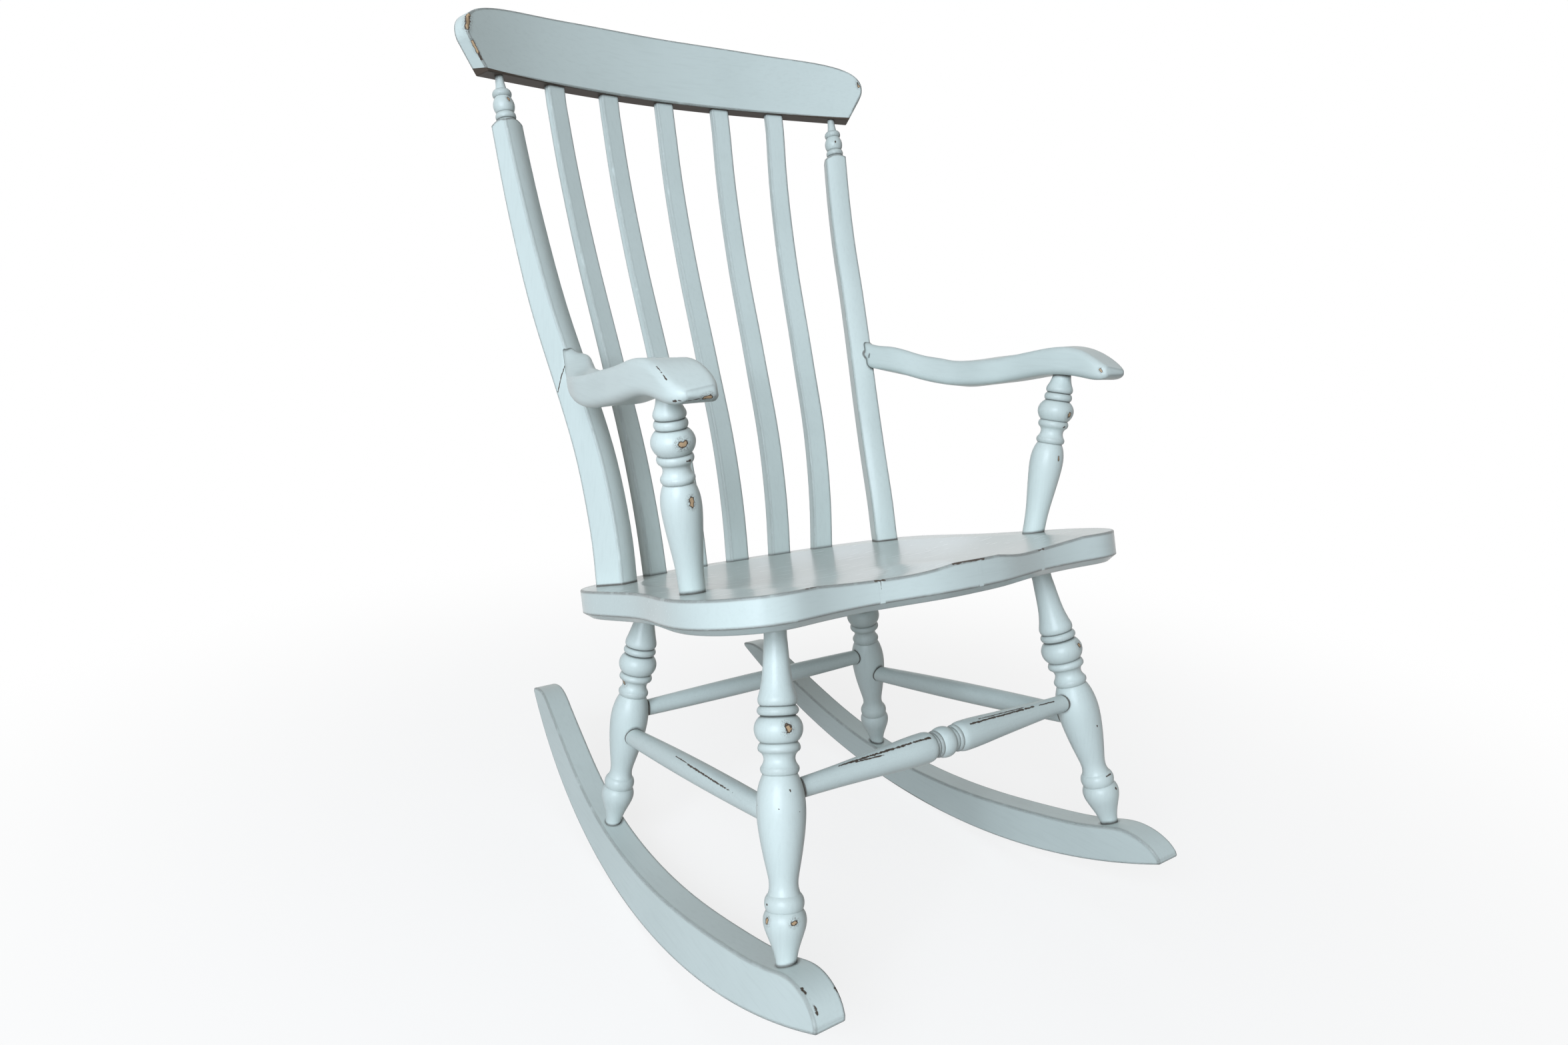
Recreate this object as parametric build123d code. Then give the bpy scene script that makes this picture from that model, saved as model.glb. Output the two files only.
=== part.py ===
"""Slat-back rocking chair in painted hardwood, in millimetres.

Every piece is drawn in the seat frame first: z = 0 is the flat top of the seat, y points
to the back, and x to the right of somebody who looks at the chair from the front. At the
end the whole chair leans back to the tilt at which it comes to rest on its rockers.
"""
import os
from math import asin, atan2, cos, degrees, exp, radians, sin, sqrt, tan

from build123d import *

# ------------------------------------------------------------------ fits
GLUE_GAP = 0.1            # all round a tenon, dowel or plug in its hole
END_GAP = 1.0             # left under the end of a tenon or dowel
REACH = 400.0             # how far a cutting tool goes past the piece that it cuts

# ------------------------------------------------------------------ seat
SEAT_THICK = 36.5
SEAT_BEVEL_HEIGHT = 7.5   # bevel under the edge
SEAT_BEVEL_WIDTH = 10.0
SEAT_EDGE_R = 2.0         # upper edge
SEAT_HALF_OUTLINE = [(0, -268), (45, -265), (85, -255), (120, -247), (155, -244.5), (190, -246.5),
                     (225, -250), (250, -243), (270, -226), (286, -200), (296, -158), (293, -108),
                     (285, -68), (277, -25), (275, 20), (278, 62), (281, 100), (281, 135),
                     (274, 166), (255, 196), (218, 221), (165, 241), (105, 253), (50, 259), (0, 261)]
SEAT_SEAM = 117.0         # the boards meet here, at the same place on the left, and in the middle
HOLLOW_DEPTH = 12.0
HOLLOW_HALF_WIDTH = 235.0
HOLLOW_BACK = 222.0       # from the middle of the hollow to its back border
HOLLOW_FRONT = 330.0
HOLLOW_MIDDLE_Y = -10.0
HOLLOW_POWER = 2.6        # 2 would be an ellipse
POMMEL_RISE = 8.5
POMMEL_Y = 240.0          # from the middle of the hollow to the pommel's full height
POMMEL_WIDTH = 52.0
DOWEL_R = 4.0
DOWEL_LENGTH = 50.0
DOWEL_Y = (-150.0, -15.0, 120.0)
DOWEL_Z = -24.0

# ------------------------------------------------------------------ legs
LEG_TENON_R = 12.0
LEG_TENON_DEPTH = 26.0
FOOT_TENON_R = 8.0
FOOT_TENON_DEPTH = 26.0
FOOT_SINK = 3.0           # turned length below the rocker's top, trimmed to the rocker
FRONT_FOOT_Y = -193.0
FRONT_LEAN = Vector(-0.1465, 0.0737, 0.9865)
REAR_FOOT_Y = 255.0
REAR_LEAN = Vector(-0.1801, -0.2446, 0.9527)
# height above the rocker and radius, one list for each bead between two sharp grooves
LEG_BEADS = [
    [(0, 10.5), (15, 13.4), (30, 19.0), (42.2, 22.0), (49, 20.9), (52.8, 18.5)],
    [(52.8, 18.5), (56, 19.8), (60, 20.2), (64.5, 19.2), (68, 16.6)],
    [(68, 16.6), (74.8, 14.9), (90, 16.7), (115, 21.6), (138, 24.7), (151, 25.3),
     (168, 23.7), (180, 20.2), (184.9, 17.8)],
    [(184.9, 17.8), (187.2, 19.5), (190.2, 20.1), (193, 18.9)],
    [(193, 18.9), (196.5, 16.9), (200.2, 16.2), (204, 17.2), (207, 19.9)],
    [(207, 19.9), (208.5, 21.5), (210.6, 22.0), (214, 21.1), (216.5, 19.1)],
    [(216.5, 19.1), (222, 23.4), (230.5, 25.2), (238.5, 22.6), (243.2, 17.6)],
    [(243.2, 17.6), (245.4, 20.8), (248.1, 21.6), (251, 20.6), (253.1, 18.2)],
]
FRONT_CONE = [(253.1, 18.2), (256, 20.1), (259, 20.5), (264, 19.4), (272, 17.2), (291, 14.3),
              (322, 12.0)]
REAR_CONE = [(253.1, 18.2), (256, 20.6), (259, 21.0), (265, 19.7), (278, 16.2), (300, 12.0)]

# ------------------------------------------------------------------ rockers
ROCKER_THICK = 35.7
ROCKER_X = 177.3          # middle plane of the board where y = 0 and z = 0
ROCKER_LEAN = 0.1815      # x gained for each mm down
ROCKER_TOE = 0.0098       # x lost for each mm towards the back
ROCKER_EDGE_R = 2.5
ARC_R = 872.0
ARC_Y = -35.4
ARC_LOW_Z = -433.4        # lowest point of the underside
ARC_Z = ARC_LOW_Z + ARC_R
# y and the height of the rocker there
ROCKER_HEIGHTS = [(-270, 5.3), (-264.5, 16.8), (-249.5, 32.7), (-225, 45.5), (-183, 49.3), (-94, 53.9),
                  (30, 55.4), (160, 52.7), (287, 50.6), (351, 52.1), (432, 54.6), (487, 51.6),
                  (512, 47.7), (535, 37.5), (556, 21.2), (571, 6.0)]

# ------------------------------------------------------------------ stretchers
STRETCHER_TENON_R = 8.0
STRETCHER_PAST_AXIS = 4.0  # the tenons end this far beyond the axis of the leg
FRONT_STRETCHER_Z = -208.5
REAR_STRETCHER_Z = -179.5
SIDE_STRETCHER_FRONT_Z = -232.0
SIDE_STRETCHER_REAR_Z = -209.5
STRETCHER_START = 17.0    # the turned part starts this far from the leg's axis
FRONT_STRETCHER_END_R = 10.3
# distance to the right of the middle, and radius
FRONT_STRETCHER_BEADS = [
    [(-165, 11.2), (-120, 13.2), (-70, 15.8), (-32, 17.3), (-24, 16.3), (-19, 12.9)],
    [(-19, 12.9), (-17.3, 13.7), (-15.7, 13.0)],
    [(-15.7, 13.0), (-13.6, 15.3), (-11.5, 14.9)],
    [(-11.5, 14.9), (-7, 16.9), (-1, 17.6), (4, 16.6), (8.5, 12.9)],
    [(8.5, 12.9), (10.7, 13.8), (13.3, 13.0)],
    [(13.3, 13.0), (15.8, 15.5), (18.2, 15.0)],
    [(18.2, 15.0), (23, 16.8), (31, 17.4), (70, 15.8), (120, 13.2), (165, 11.2)],
]
REAR_STRETCHER_R = (13.0, 12.4, 10.8)   # at the middle, halfway and the ends
SIDE_STRETCHER_R = (13.8, 13.2, 11.6)

# ------------------------------------------------------------------ arm posts
ARM_POST_FOOT = Vector(256.8, -110.0, 0.0)
ARM_POST_LEAN = Vector(0.1354, -0.2503, 0.9587)
ARM_POST_TENON_R = 9.5
ARM_POST_TENON_DEPTH = 26.0
ARM_TENON_R = 8.0
ARM_TENON_TOP = 232.0     # along the post, from the seat
ARM_TENON_LENGTH = 30.0
ARM_POST_SINK = 6.0       # turned length below the seat's top, trimmed to the seat
ARM_POST_BEADS = [
    [(-ARM_POST_SINK, 13.8), (0, 13.9), (25, 14.6), (55, 17.6), (80, 20.3), (98, 21.1), (111, 19.3),
     (120.2, 15.5)],
    [(120.2, 15.5), (122.3, 17.4), (125.1, 17.9), (128, 16.7)],
    [(128, 16.7), (131.5, 14.8), (135.2, 14.2), (138.5, 15.0), (141, 17.2)],
    [(141, 17.2), (144.8, 19.1), (148, 18.6), (150, 17.0)],
    [(150, 17.0), (155.5, 21.0), (163.1, 22.7), (170.5, 20.3), (175.7, 15.2)],
    [(175.7, 15.2), (178, 17.0), (181.1, 17.4), (184, 16.4), (185.6, 14.4)],
    [(185.6, 14.4), (188, 16.5), (190.5, 16.9), (196, 14.9), (204, 12.2), (212, 10.8), (222, 9.8)],
]

# ------------------------------------------------------------------ arms
ARM_TOP_R = 5.0           # round of the upper corners
ARM_BOTTOM_R = 9.0        # round of the lower corners
# y, then x and height of the inner bottom, inner top, outer top and outer bottom corner
ARM_SECTIONS = [
    (188, (234, 276), (240, 314), (251, 313), (250, 273)),
    (172, (234, 271), (239, 310), (254, 306), (254, 268)),
    (158, (234, 267), (240, 307), (259, 291), (259, 262)),
    (140, (235, 262), (241, 302), (266, 279), (266, 254)),
    (112, (237, 253), (245, 293), (278, 267), (278, 243)),
    (84, (240, 242), (255, 278), (288, 259), (288, 231)),
    (52, (244, 229), (264, 264), (297, 254), (296, 221)),
    (20, (248, 219), (265, 253), (302, 250), (300, 213)),
    (-12, (253, 212), (261, 246), (303, 248), (302, 209)),
    (-80, (259, 205), (260, 238), (308, 243), (307, 205)),
    (-140, (263, 204), (264, 237), (314, 240), (313, 203)),
    (-185, (265, 197), (266, 233), (317, 231), (316, 194)),
    (-212, (266, 188), (267, 222), (318, 215), (317, 185)),
    (-232, (268, 184), (269, 206), (314, 199), (312, 184)),
    (-240, (274, 187), (275, 198), (306, 193), (305, 187)),
]
ARM_BACK_TENON_R = 5.5    # the arm's own tenon in the back post
ARM_BACK_TENON_Z = 289.0
ARM_BACK_TENON_INSET = 7.5      # from the post's front outer edge
ARM_BACK_TENON_AIM = Vector(0.05, 0.95, 0.31)
ARM_BACK_TENON_LENGTH = 22.0

# ------------------------------------------------------------------ back posts
POST_TURN = 28.6          # degrees that the posts are turned towards the middle
POST_WIDTH = 33.0
POST_CROWN = 3.0          # swell of the front face
POST_CORNER_R = 3.0
# z, x and y of the front outer edge, depth of the section
POST_STATIONS = [(0, 229.2, 135.8, 43.5), (44, 228.3, 135.5, 43.2), (90, 228.7, 137.9, 42.8),
                 (130, 230.0, 142.0, 42.2), (175, 233.0, 147.9, 41.2), (228, 238.9, 157.2, 40.0),
                 (290, 247.4, 169.2, 38.4), (348, 255.3, 181.0, 36.6), (405, 261.4, 191.2, 34.6),
                 (460, 265.6, 200.2, 32.5), (515, 269.8, 206.9, 30.3), (565, 273.4, 210.9, 28.2),
                 (612, 276.8, 213.1, 26.4), (621, 277.4, 213.4, 26.2)]
POST_TENON_R = 11.0
POST_TENON_DEPTH = 28.0
FINIAL_FOOT = Vector(268.6, 230.5, 612.0)
FINIAL_AIM_X = 271.4      # where the pin stands in the middle of the crest rail
FINIAL_AIM_Z = 704.0
FINIAL_SHOULDER_R = 21.2  # where the lathe cuts the corners of the square, at the finial's foot
FINIAL_BEADS = [
    [(7.5, 11.4), (9.5, 13.0), (12.5, 13.3), (15.5, 12.4), (17, 10.6)],
    [(17, 10.6), (21, 12.9), (27, 13.9), (33, 12.6), (37.5, 10.2)],
    [(37.5, 10.2), (39.5, 12.0), (42.5, 12.5), (45.5, 11.4), (47.5, 7.6)],
    [(47.5, 7.6), (54, 6.2), (61, 5.5)],
]
PIN_R = 5.4
PIN_TOP = 88.0            # along the finial

# ------------------------------------------------------------------ crest rail
CREST_FRONT_R = 674.0
CREST_THICK = 23.0
CREST_EDGE_R = 2.0
CREST_BOTTOM = [(-291, 674), (0, 695), (291, 674)]
CREST_TOP_HALF = [(0, 790), (118, 786), (184, 778.5), (242, 769.5), (276, 760.5), (296, 751.5), (308, 742),
                  (314.5, 731), (315.5, 719), (311, 707)]

# ------------------------------------------------------------------ slats
SLAT_WIDTHS = (31.0, 28.5)      # at the seat, at the crest rail
SLAT_THICKS = (19.0, 12.0)
SLAT_CORNER_R = 3.2
# x at the seat and at the crest rail, from the middle to the right; each slat stands on an arc
# like the rail's and faces its centre
SLAT_PLACES = [(0.0, 0.0), (72.1, 92.7), (143.2, 181.5)]
# height, and y of the front of the middle slat
SLAT_CURVE = [(0, 224), (45, 221), (95, 220), (145, 222), (195, 227), (245, 235), (300, 244.5), (360, 255),
              (425, 266.5), (490, 275.5), (550, 281.5), (610, 284.5), (664, 285)]
CREST_FRONT_Y = SLAT_CURVE[-1][1] - (CREST_THICK - SLAT_THICKS[1]) / 2
CREST_CENTRE_Y = CREST_FRONT_Y - CREST_FRONT_R
SLAT_TENON_DOWN = 22.0
SLAT_TENON_TOP = 716.0

# ------------------------------------------------------------------ screws and plugs
SCREW_SHANK_R = 2.4
SCREW_HEAD_R = 4.6
SCREW_HEAD_HEIGHT = 3.0
PLUG_R = 5.4
SCREW_GAP = 0.15
ROCKER_SCREW_LENGTH = 40.0
ROCKER_SCREW_HEAD_DEPTH = 11.0  # head seat above the bottom of the rocker


def on_axis(origin, aim):
    """Location whose z axis runs from origin along aim."""
    return Plane(origin=origin, z_dir=aim.normalized()).location


def turned(beads, bottom, top):
    """Solid of revolution about z: beads, then a plain cylinder (radius, length) at each end."""
    first, last = beads[0][0], beads[-1][-1]
    low_z = first[0] - bottom[1]
    points = [(0, low_z), (bottom[0], low_z), (bottom[0], first[0]), first[::-1]]
    edges = [Line((a[0], 0, a[1]), (b[0], 0, b[1])) for a, b in zip(points, points[1:])
             if abs(a[0] - b[0]) + abs(a[1] - b[1]) > 1e-6]
    for bead in beads:
        edges.append(Spline(*[(r, 0, z) for z, r in bead]))
    points = [last[::-1], (top[0], last[0]), (top[0], top[1]), (0, top[1]), (0, low_z)]
    edges += [Line((a[0], 0, a[1]), (b[0], 0, b[1])) for a, b in zip(points, points[1:])
              if abs(a[0] - b[0]) + abs(a[1] - b[1]) > 1e-6]
    return revolve(make_face(Wire(edges)), Axis.Z)


def rod(radius, start, end):
    """Cylinder between two heights on z."""
    return Pos(0, 0, (start + end) / 2) * Cylinder(radius, end - start)


def mirrored(solid):
    return mirror(solid, about=Plane.YZ)


def between(curve, z):
    """Value of a list of (z, value) at z, on straight lines between its points."""
    for (z0, v0), (z1, v1) in zip(curve, curve[1:]):
        if z <= z1:
            return v0 + (v1 - v0) * (z - z0) / (z1 - z0)
    return curve[-1][1]


def arc_z(y):
    """Height of the rocker's underside at y."""
    return ARC_Z - sqrt(ARC_R**2 - (y - ARC_Y)**2)


# ------------------------------------------------------------------ rockers and legs
def make_rocker_blank():
    nose_y, tail_y = ROCKER_HEIGHTS[0][0], ROCKER_HEIGHTS[-1][0]
    bottom = [(0, y, arc_z(y)) for y in (nose_y, ARC_Y, tail_y)]
    top = [(0, y, arc_z(y) + height) for y, height in ROCKER_HEIGHTS]
    edges = [ThreePointArc(*bottom), Spline(*top), Line(top[-1], bottom[-1]), Line(bottom[0], top[0])]
    side = extrude(make_face(Wire(edges)), amount=ROCKER_X + REACH, dir=(1, 0, 0))
    board = Plane(origin=(ROCKER_X, 0, 0), x_dir=(0, 1, 0), z_dir=(1, ROCKER_TOE, ROCKER_LEAN))
    length = tail_y - nose_y + 2 * REACH
    blank = side & board.location * Box(2 * length, 2 * length, ROCKER_THICK)
    return fillet(blank.edges(), ROCKER_EDGE_R)


def foot_point(y):
    """Middle of the rocker's top at y."""
    z = arc_z(y) + between(ROCKER_HEIGHTS, y)
    return Vector(ROCKER_X - ROCKER_TOE * y - ROCKER_LEAN * z, y, z)


def leg_top(foot, lean):
    """Length along the leg from the foot to the underside of the seat."""
    return (-SEAT_THICK - foot.Z) / lean.normalized().Z


def make_leg(foot, lean, cone, rocker):
    top = leg_top(foot, lean)
    sunk = [[(-FOOT_SINK, LEG_BEADS[0][0][1])] + LEG_BEADS[0]] + LEG_BEADS[1:] + [cone]
    body = turned(sunk, (LEG_TENON_R / 2, 0), (LEG_TENON_R, top + LEG_TENON_DEPTH))
    placed = on_axis(foot, lean) * body - rocker
    tenon = rod(FOOT_TENON_R, -FOOT_TENON_DEPTH, FOOT_SINK)
    return placed + on_axis(foot, lean) * tenon


FRONT_FOOT = foot_point(FRONT_FOOT_Y)
REAR_FOOT = foot_point(REAR_FOOT_Y)
rocker_blank = make_rocker_blank()
front_leg = make_leg(FRONT_FOOT, FRONT_LEAN, FRONT_CONE, rocker_blank)
rear_leg = make_leg(REAR_FOOT, REAR_LEAN, REAR_CONE, rocker_blank)


# screws come up through the rocker into the foot of each leg, under a wooden plug
def rocker_depth(foot, lean):
    """Distance from the foot of a leg down its axis to the underside of the rocker."""
    axis = lean.normalized()
    depth = 0.0
    while (foot - axis * depth).Z > arc_z((foot - axis * depth).Y):
        depth += 0.1
    return depth


def rocker_joint(foot, lean):
    """Screw, plug, and the holes that the screw needs in the leg and all of it in the rocker."""
    place = on_axis(foot, lean)
    depth = rocker_depth(foot, lean)
    head = ROCKER_SCREW_HEAD_DEPTH - depth
    tip = head + ROCKER_SCREW_LENGTH
    screw = rod(SCREW_SHANK_R, head, tip) + rod(SCREW_HEAD_R, head - SCREW_HEAD_HEIGHT, head)
    outside = -depth - SCREW_HEAD_R * 4
    plug = rod(PLUG_R, outside, head - SCREW_HEAD_HEIGHT - GLUE_GAP)
    pilot = rod(SCREW_SHANK_R + SCREW_GAP, head, tip + END_GAP)
    counterbore = rod(PLUG_R + GLUE_GAP, outside, head)
    socket = rod(FOOT_TENON_R + GLUE_GAP, -FOOT_TENON_DEPTH - END_GAP, FOOT_TENON_R * 3)
    return place * screw, place * plug & rocker_blank, place * pilot, place * (pilot + counterbore + socket)


front_joint = rocker_joint(FRONT_FOOT, FRONT_LEAN)
rear_joint = rocker_joint(REAR_FOOT, REAR_LEAN)
front_leg -= front_joint[2]
rear_leg -= rear_joint[2]
rocker = rocker_blank - front_joint[3] - rear_joint[3]


# ------------------------------------------------------------------ stretchers
def leg_axis_at(foot, lean, z):
    return foot + lean * ((z - foot.Z) / lean.Z)


def plain_beads(length, radii):
    """Half of a plain stretcher, swelling gently towards its middle."""
    middle, quarter, end = radii
    return [[(-length, end), (-length / 2, quarter), (0, middle), (length / 2, quarter), (length, end)]]


def make_stretcher(beads, half, tenon_end):
    """Turned stretcher about z, symmetrical about its middle, with a tenon at each end."""
    return turned(beads, (STRETCHER_TENON_R, tenon_end - half), (STRETCHER_TENON_R, tenon_end))


front_axis = leg_axis_at(FRONT_FOOT, FRONT_LEAN, FRONT_STRETCHER_Z)
rear_axis = leg_axis_at(REAR_FOOT, REAR_LEAN, REAR_STRETCHER_Z)
side_front = leg_axis_at(FRONT_FOOT, FRONT_LEAN, SIDE_STRETCHER_FRONT_Z)
side_rear = leg_axis_at(REAR_FOOT, REAR_LEAN, SIDE_STRETCHER_REAR_Z)

front_half = front_axis.X - STRETCHER_START
front_beads = [list(bead) for bead in FRONT_STRETCHER_BEADS]
front_beads[0].insert(0, (-front_half, FRONT_STRETCHER_END_R))
front_beads[-1].append((front_half, FRONT_STRETCHER_END_R))
front_stretcher = on_axis(Vector(0, front_axis.Y, front_axis.Z), Vector(1, 0, 0)) * make_stretcher(
    front_beads, front_half, front_axis.X + STRETCHER_PAST_AXIS)

rear_half = rear_axis.X - STRETCHER_START
rear_stretcher = on_axis(Vector(0, rear_axis.Y, rear_axis.Z), Vector(1, 0, 0)) * make_stretcher(
    plain_beads(rear_half, REAR_STRETCHER_R), rear_half, rear_axis.X + STRETCHER_PAST_AXIS)

side_length = (side_rear - side_front).length / 2
side_half = side_length - STRETCHER_START
side_stretcher = on_axis((side_front + side_rear) * 0.5, side_rear - side_front) * make_stretcher(
    plain_beads(side_half, SIDE_STRETCHER_R), side_half, side_length + STRETCHER_PAST_AXIS)


def stretcher_hole(start, aim):
    """Hole for a stretcher's tenon, from outside the leg to just past its axis."""
    return on_axis(start, aim) * rod(STRETCHER_TENON_R + GLUE_GAP, -REACH / 8, STRETCHER_PAST_AXIS + END_GAP)


front_leg = front_leg - stretcher_hole(front_axis, Vector(1, 0, 0))
front_leg = front_leg - stretcher_hole(side_front, side_front - side_rear)
rear_leg = rear_leg - stretcher_hole(rear_axis, Vector(1, 0, 0))
rear_leg = rear_leg - stretcher_hole(side_rear, side_rear - side_front)
front_stretcher = front_stretcher - front_leg - mirrored(front_leg)
rear_stretcher = rear_stretcher - rear_leg - mirrored(rear_leg)
side_stretcher = side_stretcher - front_leg - rear_leg


# ------------------------------------------------------------------ back posts and finials
post_side = Vector(cos(radians(POST_TURN)), -sin(radians(POST_TURN)), 0)
post_rearward = Vector(sin(radians(POST_TURN)), cos(radians(POST_TURN)), 0)


def post_section(z, x, y, depth):
    """Section of the right post: flat back and sides, crowned front, at its front outer edge."""
    middle = Vector(x, y, z) - post_side * (POST_WIDTH / 2)
    half = POST_WIDTH / 2
    edges = [ThreePointArc((-half, 0), (0, -POST_CROWN), (half, 0)), Line((half, 0), (half, depth)),
             Line((half, depth), (-half, depth)), Line((-half, depth), (-half, 0))]
    face = make_face(Wire(edges))
    return Plane(origin=middle, x_dir=post_side, z_dir=(0, 0, 1)) * fillet(face.vertices(), POST_CORNER_R)


post_square = loft([post_section(*station) for station in POST_STATIONS])
crest_middle_r = CREST_FRONT_R + CREST_THICK / 2
finial_top = Vector(FINIAL_AIM_X, CREST_CENTRE_Y + sqrt(crest_middle_r**2 - FINIAL_AIM_X**2), FINIAL_AIM_Z)
finial_place = on_axis(FINIAL_FOOT, finial_top - FINIAL_FOOT)
finial_start, finial_r = FINIAL_BEADS[0][0]
shoulder = Pos(0, 0, finial_start / 2) * Cone(FINIAL_SHOULDER_R, finial_r, finial_start)
finial = turned(FINIAL_BEADS, (finial_r, finial_start - END_GAP), (PIN_R, PIN_TOP))
first_station = POST_STATIONS[0]
post_foot = (Vector(first_station[1], first_station[2], 0) - post_side * (POST_WIDTH / 2)
             + post_rearward * (first_station[3] / 2))
post_tenon = Pos(*post_foot) * rod(POST_TENON_R, -POST_TENON_DEPTH, POST_TENON_R)
lathe_cut = rod(2 * POST_WIDTH, 0, POST_WIDTH) - shoulder
post_blank = post_square - finial_place * lathe_cut + finial_place * finial + post_tenon


# ------------------------------------------------------------------ arms
def round_corners(face, corners, radius):
    """Round off the corners of a flat face that lie at these points."""
    nearest = [face.vertices().sort_by_distance(corner)[0] for corner in corners]
    return fillet(nearest, radius)


def arm_section(y, inner_bottom, inner_top, outer_top, outer_bottom):
    least = min(inner_top[1] - inner_bottom[1], outer_top[1] - outer_bottom[1],
                outer_top[0] - inner_top[0], outer_bottom[0] - inner_bottom[0])
    face = make_face(Polyline(inner_bottom, outer_bottom, outer_top, inner_top, close=True))
    face = round_corners(face, (inner_top, outer_top), min(ARM_TOP_R, least * 0.4))
    face = round_corners(face, (inner_bottom, outer_bottom), min(ARM_BOTTOM_R, least * 0.4))
    return Plane(origin=(0, y, 0), x_dir=(1, 0, 0), z_dir=(0, -1, 0)) * face


arm_bar = loft([arm_section(*section) for section in ARM_SECTIONS])
post_edge_x = between([(station[0], station[1]) for station in POST_STATIONS], ARM_BACK_TENON_Z)
post_edge_y = between([(station[0], station[2]) for station in POST_STATIONS], ARM_BACK_TENON_Z)
arm_back = Vector(post_edge_x, post_edge_y, ARM_BACK_TENON_Z) - post_side * ARM_BACK_TENON_INSET
arm_back_place = on_axis(arm_back, ARM_BACK_TENON_AIM)
arm_blank = arm_bar - post_square
arm_blank = arm_blank + arm_back_place * rod(ARM_BACK_TENON_R, -2 * ARM_BACK_TENON_R, ARM_BACK_TENON_LENGTH)
back_post = post_blank - arm_back_place * rod(ARM_BACK_TENON_R + GLUE_GAP, -2 * ARM_BACK_TENON_R,
                                              ARM_BACK_TENON_LENGTH + END_GAP)

# ------------------------------------------------------------------ seat
def hollow_height(x, y):
    """Height of the hollowed top: a rounded rectangular dish with a raised pommel in front."""
    reach = HOLLOW_BACK if y > HOLLOW_MIDDLE_Y else HOLLOW_FRONT
    rim = (abs(x) / HOLLOW_HALF_WIDTH) ** HOLLOW_POWER + (abs(y - HOLLOW_MIDDLE_Y) / reach) ** HOLLOW_POWER
    front = min(max((HOLLOW_MIDDLE_Y - y) / POMMEL_Y, 0.0), 1.0)
    pommel = POMMEL_RISE * exp(-((x / POMMEL_WIDTH) ** 2)) * front**2 * (3 - 2 * front)
    return HOLLOW_DEPTH * (rim - 1) + pommel


# the right half; its boards are mirrored for the left one
seat_outline = SEAT_HALF_OUTLINE[::-1] + [(-x, y) for x, y in SEAT_HALF_OUTLINE[1:-1]]
seat_blank = extrude(make_face(Wire([Spline(*seat_outline, periodic=True)])), amount=-SEAT_THICK)
seat_blank = chamfer(seat_blank.faces().sort_by(Axis.Z)[0].edges(), SEAT_BEVEL_HEIGHT, SEAT_BEVEL_WIDTH)
seat_blank = seat_blank & Pos(REACH, 0, 0) * Box(2 * REACH, 2 * REACH, REACH)
grid = [[(x, y, hollow_height(x, y)) for y in range(-310, 291, 30)] for x in range(-330, 331, 30)]
hollow = extrude(Face.make_surface_from_array_of_points(grid), amount=REACH, dir=(0, 0, 1))
seat = seat_blank - hollow
bevel_top = SEAT_BEVEL_HEIGHT - SEAT_THICK
side_faces = seat.faces().filter_by(lambda face: abs(face.bounding_box().min.Z - bevel_top) < 1)
top_edges = side_faces.edges().filter_by(lambda edge: edge.bounding_box().min.Z > -HOLLOW_DEPTH)
seat = fillet(top_edges, SEAT_EDGE_R)


# ------------------------------------------------------------------ slats and crest rail
def slat_section(z, share, x, y_front, turn, grow):
    """Face of a slat's section; grow widens it all round, for its mortise."""
    width = SLAT_WIDTHS[0] + (SLAT_WIDTHS[1] - SLAT_WIDTHS[0]) * share
    thick = SLAT_THICKS[0] + (SLAT_THICKS[1] - SLAT_THICKS[0]) * share
    side = Vector(cos(radians(turn)), -sin(radians(turn)), 0)
    place = Plane(origin=(x, y_front + thick / 2, z), x_dir=side, z_dir=(0, 0, 1))
    outline = RectangleRounded(width + 2 * grow, thick + 2 * grow, SLAT_CORNER_R + grow)
    return place * make_face(outline.wire())


def make_slat(x_low, x_high):
    """Slat, and the two prisms that cut its mortises."""
    sections = []
    top_z = SLAT_CURVE[-1][0]
    for z, y in SLAT_CURVE:
        share = z / top_z
        x = x_low + (x_high - x_low) * share
        shift = CREST_FRONT_R - sqrt(CREST_FRONT_R**2 - x**2)
        sections.append((z, share, x, y - shift, degrees(asin(x / CREST_FRONT_R))))
    body = loft([slat_section(*section, 0) for section in sections])
    low, high = sections[0], sections[-1]
    solids = []
    up = SLAT_TENON_TOP - top_z
    for grow, slack in ((0, 0), (GLUE_GAP, END_GAP)):
        solids.append(extrude(slat_section(*low, grow), amount=-SLAT_TENON_DOWN - slack, dir=(0, 0, 1)))
        solids.append(extrude(slat_section(*high, grow), amount=up + slack, dir=(0, 0, 1)))
    return body + solids[0] + solids[1], solids[2], solids[3]


slats = [make_slat(*place) for place in SLAT_PLACES]

def crest_outline(distance):
    """Outline of the rail on a plane this far from the axis of its bow; its ends point at the axis."""
    def spread(points):
        return [(distance * tan(asin(x / CREST_FRONT_R)), z) for x, z in points]

    half = spread(CREST_TOP_HALF)
    top = [(-x, z) for x, z in reversed(half)] + half[1:]
    bottom = spread(CREST_BOTTOM)
    edges = [ThreePointArc(*bottom), Line(bottom[-1], top[-1]), Spline(*top), Line(top[0], bottom[0])]
    plane = Plane(origin=(0, CREST_CENTRE_Y + distance, 0), x_dir=(1, 0, 0), z_dir=(0, -1, 0))
    return plane * make_face(Wire(edges))


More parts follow.
